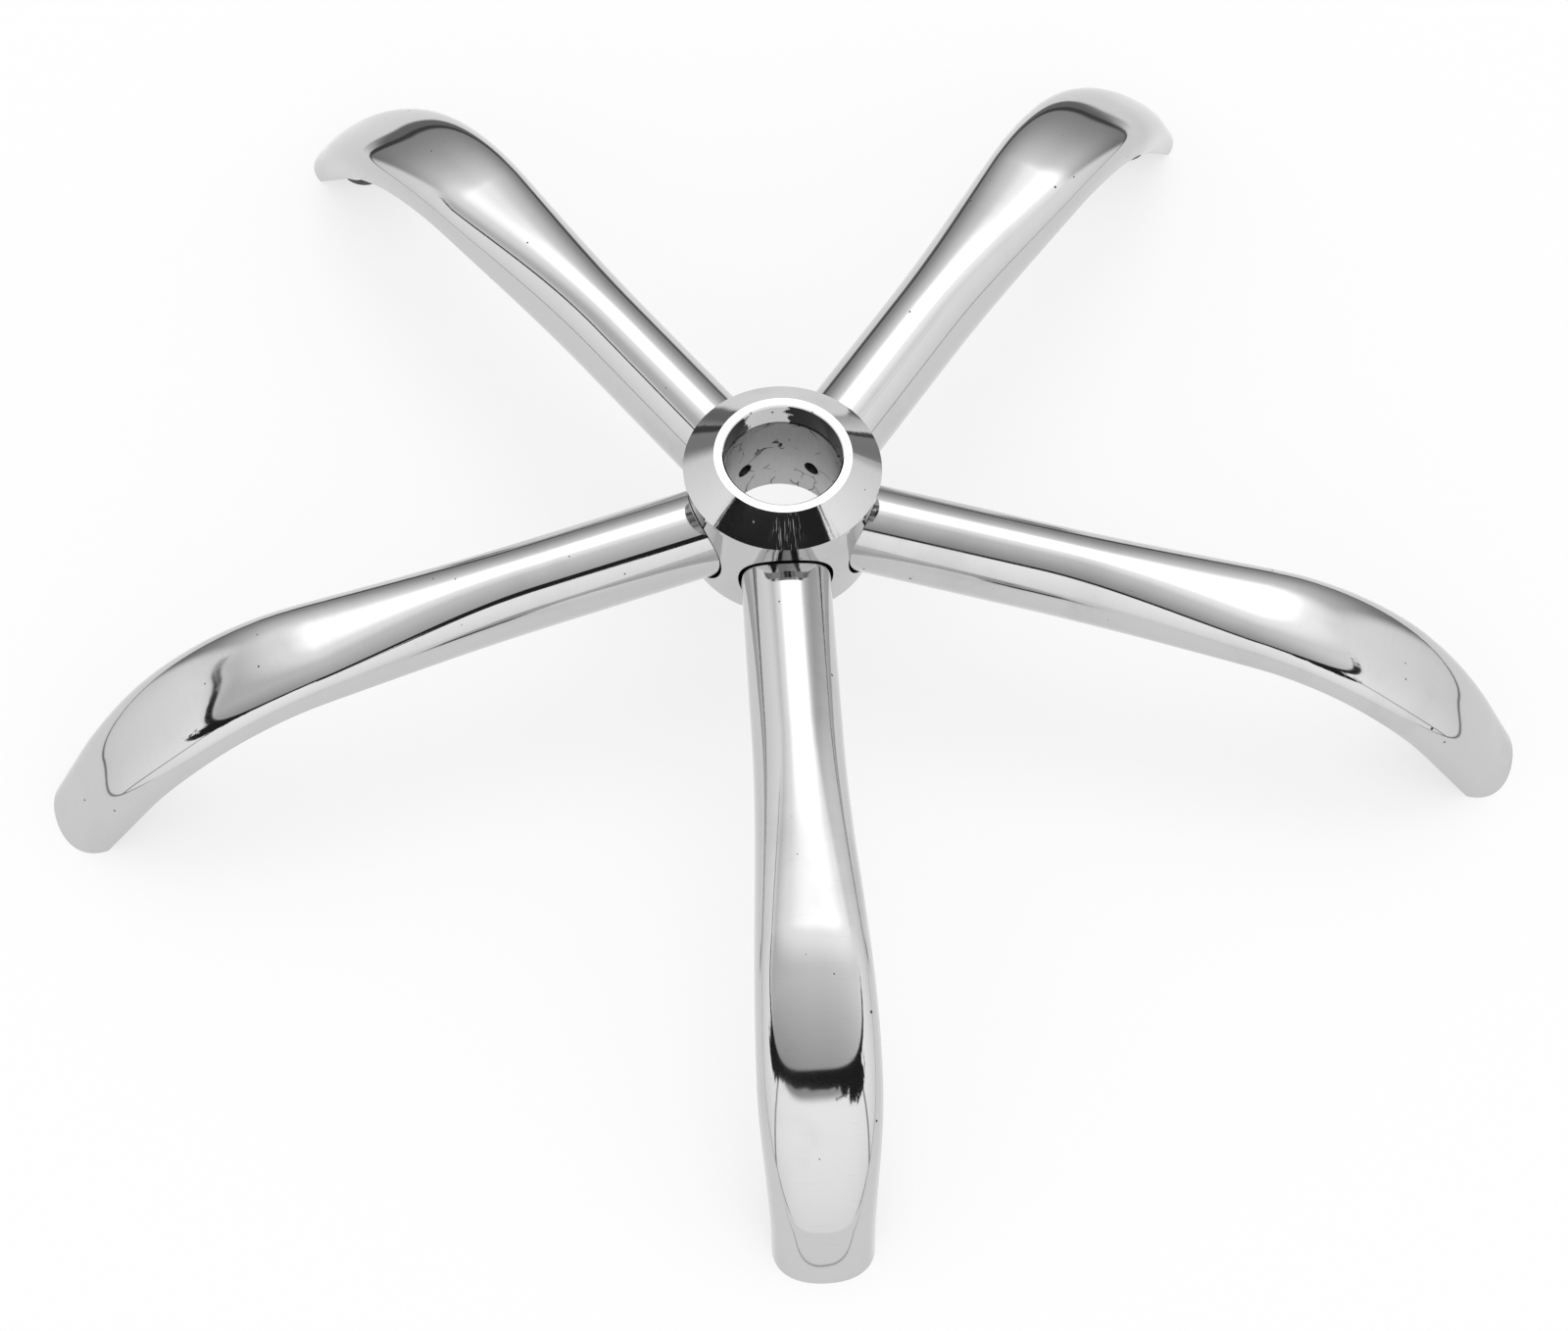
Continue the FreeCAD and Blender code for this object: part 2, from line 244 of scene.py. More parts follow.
class ChromeSettings(bpy.types.PropertyGroup):
    """Look of the chromed arms and hub."""

    colour: bpy.props.FloatVectorProperty(
        name="Chrome",
        description="Reflection colour of the clean plating",
        subtype="COLOR",
        size=3,
        min=0.0,
        max=1.0,
        default=linear("#C8C8C8"),
    )
    smudge_colour: bpy.props.FloatVectorProperty(
        name="Smudge",
        description="Reflection colour where the plating is hazed",
        subtype="COLOR",
        size=3,
        min=0.0,
        max=1.0,
        default=linear("#B2B2B2"),
    )
    pit_colour: bpy.props.FloatVectorProperty(
        name="Pit",
        description="Colour of the small rust pits and grit",
        subtype="COLOR",
        size=3,
        min=0.0,
        max=1.0,
        default=linear("#4A4743"),
    )
    # Partly painted shade: darker than bare steel, for the hollows of the tubes and the cut-outs.
    inside_and_shade_colour: bpy.props.FloatVectorProperty(
        name="Inside",
        description="Colour of the unplated steel inside the tubes",
        subtype="COLOR",
        size=3,
        min=0.0,
        max=1.0,
        default=linear("#737373"),
    )
    grease_colour: bpy.props.FloatVectorProperty(
        name="Grease",
        description="Colour of the dark grease left in the polished top of the bore",
        subtype="COLOR",
        size=3,
        min=0.0,
        max=1.0,
        default=linear("#242424"),
    )
    gloss: bpy.props.FloatProperty(
        name="Roughness",
        description="Roughness of the clean plating",
        subtype="FACTOR",
        min=0.0,
        max=1.0,
        default=0.055,
    )
    ripple: bpy.props.FloatProperty(
        name="Ripple",
        description="Height of the slow waves left by hand polishing",
        unit="LENGTH",
        default=0.005 * MM,
    )


class SteelSettings(bpy.types.PropertyGroup):
    """Look of the bare steel pieces."""

    bore_colour: bpy.props.FloatVectorProperty(
        name="Bore wall",
        description="Colour of the scraped wall of the bore",
        subtype="COLOR",
        size=3,
        min=0.0,
        max=1.0,
        default=linear("#C0C0C0"),
    )
    bore_stain: bpy.props.FloatVectorProperty(
        name="Bore stain",
        description="Colour of the bore wall where it is darker, mostly near its top",
        subtype="COLOR",
        size=3,
        min=0.0,
        max=1.0,
        default=linear("#8A8A8A"),
    )
    mark_colour: bpy.props.FloatVectorProperty(
        name="Bore mark",
        description="Colour of the scratches and specks on the bore wall",
        subtype="COLOR",
        size=3,
        min=0.0,
        max=1.0,
        default=linear("#2B2B2B"),
    )
    # Partly painted shade: darker than oiled steel, as the sleeves sit in the arms' shadow.
    sleeve_and_shade_colour: bpy.props.FloatVectorProperty(
        name="Caster sleeve",
        description="Colour of the caster sleeves' oiled steel",
        subtype="COLOR",
        size=3,
        min=0.0,
        max=1.0,
        default=linear("#5C5C5C"),
    )


class WeldSettings(bpy.types.PropertyGroup):
    """Size and look of the welds that hold the caster sleeves."""

    bead_radius: bpy.props.FloatProperty(
        name="Bead radius",
        description="Half the width of a weld bead",
        unit="LENGTH",
        default=1.6 * MM,
    )
    colour: bpy.props.FloatVectorProperty(
        name="Weld",
        description="Colour of the weld metal",
        subtype="COLOR",
        size=3,
        min=0.0,
        max=1.0,
        default=linear("#7A7873"),
    )


class StudioSettings(bpy.types.PropertyGroup):
    """Floor, light and camera."""

    floor_colour: bpy.props.FloatVectorProperty(
        name="Floor",
        description="Colour of the studio floor",
        subtype="COLOR",
        size=3,
        min=0.0,
        max=1.0,
        default=linear("#F8F8F8"),
    )
    floor_size: bpy.props.FloatProperty(
        name="Floor size",
        description="Side of the square floor",
        unit="LENGTH",
        default=14.0,
    )
    light_level: bpy.props.FloatProperty(
        name="Light level",
        description="Brightness of the white walls of the light tent",
        min=0.0,
        default=1.0,
    )
    camera_place: bpy.props.FloatVectorProperty(
        name="Camera place",
        description="Where the camera stands",
        subtype="TRANSLATION",
        unit="LENGTH",
        size=3,
        default=(-0.0949992, -0.9955153, 1.4704777),
    )
    camera_turn: bpy.props.FloatVectorProperty(
        name="Camera turn",
        description="How the camera is turned",
        subtype="EULER",
        size=3,
        default=(0.5589, -0.0246, -0.0603),
    )
    lens: bpy.props.FloatProperty(
        name="Lens",
        description="Focal length on a sensor 36 mm wide",
        default=95.48,
    )


def polished_chrome(settings, arm_angle=None):
    """Decorative chrome plate over welded steel tube, hand polished before plating.

    It gives the eye hard black and white reflections, slightly wavy, with faint haze, hairline
    scratches, and a few dark pits. Inside the tubes and on the walls of the hub's cut-outs the
    steel is bare and dull, and its grey there is darkened further as painted shade.
    """
    name = "Polished chrome plate" if arm_angle is None else "Polished chrome plate, arm"
    material = new_material(name)
    add = partial(add_node, material.node_tree)
    place = object_place(add)

    # Haze lies in clouds about 50 mm across, broken up at about 10 mm.
    haze = add(
        "TexNoise", {"Vector": place, "Scale": 1.0 / (50 * MM), "Detail": 4.0, "Roughness": 0.58}
    )
    haze = add("MapRange", haze, 0.5, 0.74, **SMOOTH)

    # Wiping scratches are hairs about 0.4 mm apart, drawn out to some 40 mm.
    wipe = object_place(add, (1.0, 0.02, 0.35), 25.0 if arm_angle is None else -arm_angle)
    hairs = add(
        "TexNoise", {"Vector": wipe, "Scale": 1.0 / (0.8 * MM), "Detail": 2.0, "Roughness": 0.5}
    )
    hairs = add("MapRange", hairs, 0.6, 0.78, **SMOOTH)

    # Pits are specks under a millimetre wide, one in a cell of about 9 mm, most cells empty.
    cells = add(
        "TexVoronoi", {"Vector": place, "Scale": 1.0 / (9 * MM), "Randomness": 1.0}, feature="F1"
    )
    chosen = add("SeparateColor", {"Color": cells.outputs["Color"]})
    span = add("Math", chosen.outputs[1], 0.07, 0.02, operation="MULTIPLY_ADD")
    span = add("Math", cells.outputs["Distance"], span, operation="DIVIDE")
    speck = add("MapRange", span, 0.7, 1.0, 1.0, 0.0, **SMOOTH)
    kept = add("Math", chosen.outputs[0], 0.35, operation="GREATER_THAN")
    pits = add("Math", speck, kept, operation="MULTIPLY")

    dull = add("Math", haze, 0.4, operation="MULTIPLY")
    dull = add("Math", hairs, 0.18, dull, operation="MULTIPLY_ADD", use_clamp=True)
    colour = add(
        "Mix", dull, rgba(settings.colour), rgba(settings.smudge_colour), data_type="RGBA"
    )
    colour = add("Mix", pits, colour, rgba(settings.pit_colour), data_type="RGBA")
    rough = add("Math", dull, 0.11, settings.gloss, operation="MULTIPLY_ADD")
    rough = add("Math", pits, 0.5, rough, operation="MULTIPLY_ADD", use_clamp=True)

    waves = add(
        "TexNoise", {"Vector": place, "Scale": 1.0 / (26 * MM), "Detail": 1.5, "Roughness": 0.4}
    )
    relief = add("Math", waves, settings.ripple, operation="MULTIPLY")
    relief = add("Math", pits, -0.08 * MM, relief, operation="MULTIPLY_ADD")
    relief = add("Math", hairs, -0.0004 * MM, relief, operation="MULTIPLY_ADD")

    if arm_angle is None:
        # The turned hub has finer waves, about 5 mm apart.
        orange_peel = add(
            "TexNoise", {"Vector": place, "Scale": 1.0 / (5 * MM), "Detail": 2.0, "Roughness": 0.5}
        )
        relief = add("Math", orange_peel, 2.4 * settings.ripple, relief, operation="MULTIPLY_ADD")
        scrape = bevel_scrapes(add)
        rough = add("Math", scrape, 0.32, rough, operation="MULTIPLY_ADD", use_clamp=True)
        grease = recess_grease(add)
        colour = add("Mix", grease, colour, rgba(settings.grease_colour), data_type="RGBA")
        rough = add("Math", grease, 0.12, rough, operation="MULTIPLY_ADD", use_clamp=True)
        # Painted shade: the cut-out walls take the dark inside colour, for the gap round each arm.
        bare = cut_out_walls(add)
        smooth = add("NewGeometry").outputs["Normal"]
    else:
        section = in_section(add, arm_angle)
        # The tube's inside is unplated steel, darkened further as painted shade of the hollow.
        bare = tube_inside(add, section)
        smooth = true_normal(add, section, arm_angle)
    colour = add("Mix", bare, colour, rgba(settings.inside_and_shade_colour), data_type="RGBA")
    rough = add("Math", bare, 0.42, rough, operation="MULTIPLY_ADD", use_clamp=True)

    lay_metal(add, colour, rough, relief, smooth)
    return material


def arm_bearing(add, place):
    """Angle from the nearest arm and distance from the bore axis, seen from above."""
    ahead = add("Math", place.outputs["Y"], -1.0, operation="MULTIPLY")
    bearing = add("Math", place.outputs["X"], ahead, operation="ARCTAN2")
    half_step = math.radians(ARM_STEP / 2)
    bearing = add("Math", bearing, half_step, -half_step, operation="WRAP")
    square = add("Math", place.outputs["X"], place.outputs["X"], operation="MULTIPLY")
    square = add("Math", ahead, ahead, square, operation="MULTIPLY_ADD")
    return bearing, add("Math", square, operation="SQRT")


def cut_out_walls(add):
    """One on the walls of the hub's cut-outs, which the plating barely reaches, and where the dull
    dark grey is painted shade of the gap round each arm.
    """
    place = add("SeparateXYZ", {"Vector": object_place(add)})
    bearing, out = arm_bearing(add, place)
    side = add("Math", add("Math", bearing, operation="SINE"), out, operation="MULTIPLY")
    square = add("Math", side, side, operation="MULTIPLY")
    square = add("Math", place.outputs["Z"], place.outputs["Z"], square, operation="MULTIPLY_ADD")
    off_arm = add("Math", square, operation="SQRT")
    near = add(
        "MapRange", off_arm, CUT_OUT_RADIUS * MM, (CUT_OUT_RADIUS + 0.4) * MM, 1.0, 0.0, **SMOOTH
    )
    within = add(
        "MapRange", out, (BODY_RADIUS - 0.5) * MM, (BODY_RADIUS - 0.1) * MM, 1.0, 0.0, **SMOOTH
    )
    return add("Math", near, within, operation="MULTIPLY")


def recess_grease(add):
    """One in ragged dark patches at the left and right of the bore's polished top.

    Their edges are torn into tongues about 6 mm wide, which run up to 5 mm either way.
    """
    place = object_place(add)
    ragged = add(
        "TexNoise", {"Vector": place, "Scale": 1.0 / (6 * MM), "Detail": 4.0, "Roughness": 0.65}
    )
    ragged = add("Math", ragged, 2 * GREASE_TEAR * MM, -GREASE_TEAR * MM, operation="MULTIPLY_ADD")
    place = add("SeparateXYZ", {"Vector": place})
    _, out = arm_bearing(add, place)
    aside = add("Math", place.outputs["X"], -GREASE_MIDDLE * MM, operation="ADD")
    aside = add("Math", aside, operation="ABSOLUTE")
    aside = add("Math", aside, ragged, operation="ADD")
    patch = add("MapRange", aside, (GREASE_GAP - 0.5) * MM, GREASE_GAP * MM, **SMOOTH)
    within = add(
        "MapRange", out, (MOUTH_RADIUS + 0.1) * MM, (MOUTH_RADIUS + 0.3) * MM, 1.0, 0.0, **SMOOTH
    )
    return add("Math", patch, within, operation="MULTIPLY")


def bevel_scrapes(add):
    """One in fine scrapes down the front of the collar's bevel.

    They run down the bevel, so their pattern reads the bearing in radians and little else.
    """
    place = add("SeparateXYZ", {"Vector": object_place(add)})
    bearing, out = arm_bearing(add, place)
    lines = add("CombineXYZ", {"X": bearing, "Y": add("Math", out, 0.8, operation="MULTIPLY")})
    per_radian = COLLAR_RADIUS / SCRAPE_WIDTH
    fine = add("TexNoise", {"Vector": lines, "Scale": per_radian, "Detail": 2.0, "Roughness": 0.7})
    fine = add("MapRange", fine, 0.58, 0.68, **SMOOTH)
    middle = add("Math", bearing, operation="ABSOLUTE")
    middle = add("MapRange", middle, *SCRAPE_SIDES, 1.0, 0.0, **SMOOTH)
    front = add("MapRange", place.outputs["Y"], -28 * MM, -26 * MM, 1.0, 0.0, **SMOOTH)
    high = add("MapRange", place.outputs["Z"], 29 * MM, 30 * MM, **SMOOTH)
    middle = add("Math", middle, front, operation="MULTIPLY")
    middle = add("Math", middle, high, operation="MULTIPLY")
    return add("Math", fine, middle, operation="MULTIPLY")


def ease(add, along, start, end):
    """Share of a smooth change between two distances along an arm, and how fast it changes."""
    part = add("MapRange", {"Value": along, "From Min": start * MM, "From Max": end * MM})
    part = add("Math", part, math.pi, operation="MULTIPLY")
    share = add("Math", add("Math", part, operation="COSINE"), -0.5, 0.5, operation="MULTIPLY_ADD")
    steepest = math.pi / 2 / ((end - start) * MM)
    rate = add("Math", add("Math", part, operation="SINE"), steepest, operation="MULTIPLY")
    return share, rate


def in_section(add, arm_angle):
    """Where a point is in the bent and pressed section of an arm, and how that section changes."""
    place = object_place(add, turn=-arm_angle)
    place = add("SeparateXYZ", {"Vector": place})
    beyond_bend = add("Math", place.outputs["X"], BEND_START * MM, operation="SUBTRACT")
    past = add("Math", beyond_bend, 0.0, operation="MAXIMUM")
    before = add("Math", beyond_bend, 0.0, operation="MINIMUM")
    rise = add("Math", place.outputs["Z"], BEND_RADIUS * MM, operation="ADD")
    slope = add("Math", past, rise, operation="ARCTAN2")
    along = add("Math", slope, BEND_RADIUS * MM, BEND_START * MM, operation="MULTIPLY_ADD")
    along = add("Math", along, before, operation="ADD")
    square = add("Math", past, past, operation="MULTIPLY")
    square = add("Math", rise, rise, square, operation="MULTIPLY_ADD")
    off = add("Math", square, operation="SQRT")
    off = add("Math", off, BEND_RADIUS * MM, operation="SUBTRACT")
    # Past the bend the arm runs straight on, a little outside the bend's circle.
    straight = add(
        "Math", along, (BEND_START + BEND_RADIUS * BEND_ANGLE) * MM, operation="SUBTRACT"
    )
    straight = add("Math", straight, 0.0, operation="MAXIMUM")
    square = add("Math", straight, straight, operation="MULTIPLY")
    off = add("Math", square, -0.5 / (BEND_RADIUS * MM), off, operation="MULTIPLY_ADD")
    lag = add("Math", straight, 1.0 / (BEND_RADIUS * MM), operation="MULTIPLY")
    slope = add("Math", slope, lag, operation="SUBTRACT")

    pressed, pressing = ease(add, along, PRESS_START, CROWN)
    narrowed, narrowing = ease(add, along, CROWN, FOOT)
    # The oval is squarer than an ellipse, which has the exponent 2.
    squareness = add("Math", pressed, CROWN_SQUARENESS - 2.0, 2.0, operation="MULTIPLY_ADD")
    squareness = add(
        "Math", narrowed, TIP_SQUARENESS - CROWN_SQUARENESS, squareness, operation="MULTIPLY_ADD"
    )
    section = {"off": off, "side": place.outputs["Y"], "slope": slope, "squareness": squareness}
    section["crease"] = add("Math", pressed, PRESS_CREASE, squareness, operation="MULTIPLY_ADD")
    sizes = {
        "height": (CROWN_HALF_HEIGHT, TIP_HALF_HEIGHT),
        "width": (CROWN_HALF_WIDTH, TIP_HALF_WIDTH),
    }
    for name, (crown, tip) in sizes.items():
        half = add(
            "Math", pressed, (crown - ROUND_HALF) * MM, ROUND_HALF * MM, operation="MULTIPLY_ADD"
        )
        section[name] = add("Math", narrowed, (tip - crown) * MM, half, operation="MULTIPLY_ADD")
        growth = add("Math", pressing, (crown - ROUND_HALF) * MM, operation="MULTIPLY")
        section[name + "_growth"] = add(
            "Math", narrowing, (tip - crown) * MM, growth, operation="MULTIPLY_ADD"
        )
    return section


def tube_inside(add, section):
    """One inside an arm's tube and nought outside, told by the middle of its wall."""
    terms = []
    for place, half in (("off", "height"), ("side", "width")):
        middle = add("Math", section[half], HALF_WALL * MM, operation="SUBTRACT")
        part = add("Math", section[place], middle, operation="DIVIDE")
        part = add("Math", part, operation="ABSOLUTE")
        terms.append(add("Math", part, section["squareness"], operation="POWER"))
    return add("MapRange", add("Math", *terms, operation="ADD"), 0.98, 1.02, 1.0, 0.0, **SMOOTH)


def true_normal(add, section, arm_angle):
    """The arm's outward direction worked out from its section, free of the facets of the mesh.

    Ends and insides of the tubes keep the direction of the mesh.
    """
    leans = []
    stretch = []
    less = add("Math", section["crease"], 1.0, operation="SUBTRACT")
    for place, half in (("off", "height"), ("side", "width")):
        part = add("Math", section[place], section[half], operation="DIVIDE")
        size = add("Math", add("Math", part, operation="ABSOLUTE"), less, operation="POWER")
        lean = add("Math", size, add("Math", part, operation="SIGN"), operation="MULTIPLY")
        lean = add("Math", lean, section[half], operation="DIVIDE")
        leans.append(lean)
        growth = add("Math", part, section[half + "_growth"], operation="MULTIPLY")
        stretch.append(add("Math", lean, growth, operation="MULTIPLY"))
    along = add("Math", add("Math", *stretch, operation="ADD"), -1.0, operation="MULTIPLY")
    sine = add("Math", section["slope"], operation="SINE")
    cosine = add("Math", section["slope"], operation="COSINE")
    out = add("Math", along, cosine, operation="MULTIPLY")
    out = add("Math", leans[0], sine, out, operation="MULTIPLY_ADD")
    drop = add("Math", along, sine, operation="MULTIPLY")
    up = add("Math", leans[0], cosine, operation="MULTIPLY")
    up = add("Math", up, drop, operation="SUBTRACT")
    way = add("CombineXYZ", {"X": out, "Y": leans[1], "Z": up})
    way = add(
        "VectorRotate", {"Vector": way, "Angle": math.radians(arm_angle)}, rotation_type="Z_AXIS"
    )
    way = add("VectorMath", {0: way}, operation="NORMALIZE")
    mesh_way = add("NewGeometry").outputs["Normal"]
    same = add("VectorMath", {0: way, 1: mesh_way}, operation="DOT_PRODUCT")
    agrees = add("Math", same, SAME_WAY, operation="GREATER_THAN")
    return add("Mix", agrees, mesh_way, way, data_type="VECTOR")


def scraped_steel(settings):
    """Turned steel of the bore, bare and scraped by the gas spring's cone.

    It gives the eye a matt grey wall with hair scratches, specks of old grease and scrapes along
    the axis.
    """
    material = new_material("Scraped bore steel")
    add = partial(add_node, material.node_tree)
    place = object_place(add)

    # The wall is a little darker in clouds about 20 mm wide and towards the top.
    cloud = add(
        "TexNoise", {"Vector": place, "Scale": 1.0 / (20 * MM), "Detail": 3.0, "Roughness": 0.5}
    )
    parts = add("SeparateXYZ", {"Vector": place})
    stain = add("MapRange", parts.outputs["Z"], -15 * MM, 28 * MM, 0.05, 0.55, **SMOOTH)
    stain = add("Math", cloud, 0.35, stain, operation="MULTIPLY_ADD")

    # Hair scratches run in arcs some 13 mm long, and only here and there.
    strewn = add("TexNoise", {"Vector": place, "Scale": 1.0 / (9 * MM), "Detail": 2.0})
    bent = add(
        "VectorMath",
        {0: strewn.outputs["Color"], 1: (6 * MM, 6 * MM, 6 * MM), 2: place},
        operation="MULTIPLY_ADD",
    )
    hairs = add(
        "TexVoronoi", {"Vector": bent, "Scale": 1.0 / (13 * MM)}, feature="DISTANCE_TO_EDGE"
    )
    hairs = add("MapRange", hairs, 0.008, 0.018, 1.0, 0.0, **SMOOTH)
    here = add("MapRange", strewn.outputs["Fac"], 0.46, 0.54, **SMOOTH)
    hairs = add("Math", hairs, here, operation="MULTIPLY")

    # Specks of old grease are up to 1 mm wide, one in a cell of about 5 mm.
    cells = add(
        "TexVoronoi", {"Vector": bent, "Scale": 1.0 / (5 * MM), "Randomness": 1.0}, feature="F1"
    )
    chosen = add("SeparateColor", {"Color": cells.outputs["Color"]})
    span = add("Math", chosen.outputs[1], 0.1, 0.02, operation="MULTIPLY_ADD")
    span = add("Math", cells.outputs["Distance"], span, operation="DIVIDE")
    specks = add("MapRange", span, 0.7, 1.0, 1.0, 0.0, **SMOOTH)
    kept = add("Math", chosen.outputs[0], 0.3, operation="GREATER_THAN")
    specks = add("Math", specks, kept, operation="MULTIPLY")
    marks = add("Math", hairs, specks, operation="MAXIMUM")

    # Scrapes run down the bore, about 0.7 mm apart.
    down = object_place(add, (1.0, 1.0, 0.06))
    scrapes = add(
        "TexNoise", {"Vector": down, "Scale": 1.0 / (1.4 * MM), "Detail": 3.0, "Roughness": 0.6}
    )
    scrapes = add("MapRange", scrapes, 0.5, 0.68, **SMOOTH)

    share = add("Math", scrapes, -0.08, stain, operation="MULTIPLY_ADD", use_clamp=True)
    colour = add(
        "Mix", share, rgba(settings.bore_colour), rgba(settings.bore_stain), data_type="RGBA"
    )
    colour = add("Mix", marks, colour, rgba(settings.mark_colour), data_type="RGBA")
    rough = add("Math", stain, 0.12, 0.42, operation="MULTIPLY_ADD")
    relief = add("Math", scrapes, 0.03 * MM, operation="MULTIPLY")
    lay_metal(add, colour, rough, relief)
    return material


def oiled_steel(settings):
    """Turned steel of the caster sleeves, oiled and never plated.

    It gives the eye a dark satin grey with fine turning rings round the axis. The grey is partly
    painted shade: it is darker than oiled steel, as the sleeve sits in the arm's shadow.
    """
    material = new_material("Oiled sleeve steel")
    add = partial(add_node, material.node_tree)

    # Turning rings are 0.5 mm apart, seen as fine lines across the sleeve.
    layers = object_place(add, (0.0, 0.0, 1.0))
    rings = add("TexNoise", {"Vector": layers, "Scale": 1.0 / (0.5 * MM), "Detail": 1.0})
    grime = add("TexNoise", {"Vector": object_place(add), "Scale": 1.0 / (7 * MM), "Detail": 4.0})
    grime = add("MapRange", grime, 0.45, 0.7, **SMOOTH)
    dark = tuple(0.5 * c for c in settings.sleeve_and_shade_colour)
    colour = add("Mix", grime, rgba(settings.sleeve_and_shade_colour), rgba(dark), data_type="RGBA")
    rough = add("Math", grime, 0.2, 0.34, operation="MULTIPLY_ADD")
    relief = add("Math", rings, 0.01 * MM, operation="MULTIPLY")
    lay_metal(add, colour, rough, relief)
    return material


def give_finish(node_name, material):
    """Put a finish on every slot of a carried-over solid."""
    slots = NODES[node_name].material_slots
    if not slots:
        raise RuntimeError("no material slot on " + node_name)
    for slot in slots:
        slot.material = material


class CHAIRBASE_OT_hub(bpy.types.Operator):
    """Chrome the hub body"""

    bl_idname = "chairbase.hub"
    bl_label = "Finish the hub"

    def execute(self, context):
        give_finish("hub_body", polished_chrome(context.scene.chrome))
        return {"FINISHED"}


class CHAIRBASE_OT_arms(bpy.types.Operator):
    """Chrome the five tubular arms"""

    bl_idname = "chairbase.arms"
    bl_label = "Finish the arms"

    def execute(self, context):
        for index in range(ARM_COUNT):
            angle = FIRST_ARM_ANGLE + ARM_STEP * index
            give_finish("arm_tube_%d" % (index + 1), polished_chrome(context.scene.chrome, angle))
        return {"FINISHED"}


class CHAIRBASE_OT_sleeves(bpy.types.Operator):
    """Finish the bore sleeve and the five caster sleeves"""

    bl_idname = "chairbase.sleeves"
    bl_label = "Finish the sleeves"

    def execute(self, context):
        steel = context.scene.steel
        give_finish("bore_sleeve", scraped_steel(steel))
        oiled = oiled_steel(steel)
        for index in range(ARM_COUNT):
            give_finish("caster_sleeve_%d" % (index + 1), oiled)
        return {"FINISHED"}


class CHAIRBASE_OT_welds(bpy.types.Operator):
    """Lay a weld bead round the top of each caster sleeve, under the arm"""

    bl_idname = "chairbase.welds"
    bl_label = "Lay the welds"

    def execute(self, context):
        weld = context.scene.weld
        bead = lay_weld(weld)
        material = weld_metal(weld)
        beads = [bead] + [turned_copy(bead, index) for index in range(1, ARM_COUNT)]
        for index, piece in enumerate(beads):
            piece.name = "caster_weld_%d" % (index + 1)
            piece.data.materials.append(material)
            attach(piece, "root")
        return {"FINISHED"}


def lay_weld(weld):
    """A bead round the first caster sleeve, lifted all round to the inside of the arm.

    Each corner goes up to the lowest of four points of the arm across the bead's width, so that
    no part of the bead comes through the tube's wall.
    """
    bpy.ops.object.select_all(action="DESELECT")
    bpy.ops.mesh.primitive_torus_add(
        major_segments=WELD_STEPS,
        minor_segments=WELD_FACETS,
        major_radius=CASTER_SLEEVE_RADIUS * MM + WELD_OFFSET * weld.bead_radius,
        minor_radius=weld.bead_radius,
        location=(0.0, -CASTER_CIRCLE * MM, 0.0),
    )
    bead = bpy.context.object
    bpy.ops.object.transform_apply(location=True, rotation=True, scale=True)
    arm = NODES["arm_tube_1"]
    axis = Vector((0.0, -CASTER_CIRCLE * MM, 0.0))
    for corner in bead.data.vertices:
        out = Vector((corner.co.x, corner.co.y + CASTER_CIRCLE * MM, 0.0))
        turn = math.atan2(out.y, out.x)
        roofs = []
        for share in (-1.0, 0.0, 1.0, 2.0):
            reach = CASTER_SLEEVE_RADIUS * MM + share * weld.bead_radius
            start = axis + out.normalized() * reach
            start.z = FLOOR_HEIGHT - weld.bead_radius
            hit, place, _, _ = arm.ray_cast(start, Vector((0.0, 0.0, 1.0)))
            if not hit:
                raise RuntimeError("no roof over the caster sleeve")
            roofs.append(place.z)
        ripple = 1.0 + WELD_RIPPLE * math.sin(turn * WELD_RIPPLES)
        corner.co.z = min(roofs) + corner.co.z * ripple
    bpy.ops.object.shade_smooth_by_angle(angle=math.radians(40.0))
    return bead


def turned_copy(piece, index):
    """A copy with its own mesh, turned about the bore axis to another arm."""
    bpy.ops.object.select_all(action="DESELECT")
    piece.select_set(True)
    bpy.context.view_layer.objects.active = piece
    bpy.ops.object.duplicate(linked=False)
    bpy.ops.transform.rotate(
        value=math.radians(ARM_STEP * index), orient_axis="Z", center_override=(0.0, 0.0, 0.0)
    )
    bpy.ops.object.transform_apply(location=True, rotation=True, scale=True)
    return bpy.context.object


def weld_metal(weld):
    """Mild steel weld left as it cooled, scaled and never ground.

    It gives the eye a dull brown grey with dark scale in the ripples.
    """
    material = new_material("Weld metal")
    add = partial(add_node, material.node_tree)
    place = object_place(add)
    scale = add(
        "TexNoise", {"Vector": place, "Scale": 1.0 / (2 * MM), "Detail": 4.0, "Roughness": 0.6}
    )
    scale = add("MapRange", scale, 0.42, 0.66, **SMOOTH)
    dark = tuple(0.35 * c for c in weld.colour)
    colour = add("Mix", scale, rgba(weld.colour), rgba(dark), data_type="RGBA")
    rough = add("Math", scale, 0.25, 0.45, operation="MULTIPLY_ADD")
    relief = add("Math", scale, 0.1 * MM, operation="MULTIPLY")
    lay_metal(add, colour, rough, relief)
    return material


class CHAIRBASE_OT_studio(bpy.types.Operator):
    """Lay the floor, light the tent and stand the camera in it"""

    bl_idname = "chairbase.studio"
    bl_label = "Set up the studio"

    def execute(self, context):
        studio = context.scene.studio
        lay_floor(studio)
        light_tent(context.scene, studio)
        hang_dark_card()
        stand_camera(context.scene, studio)
        return {"FINISHED"}


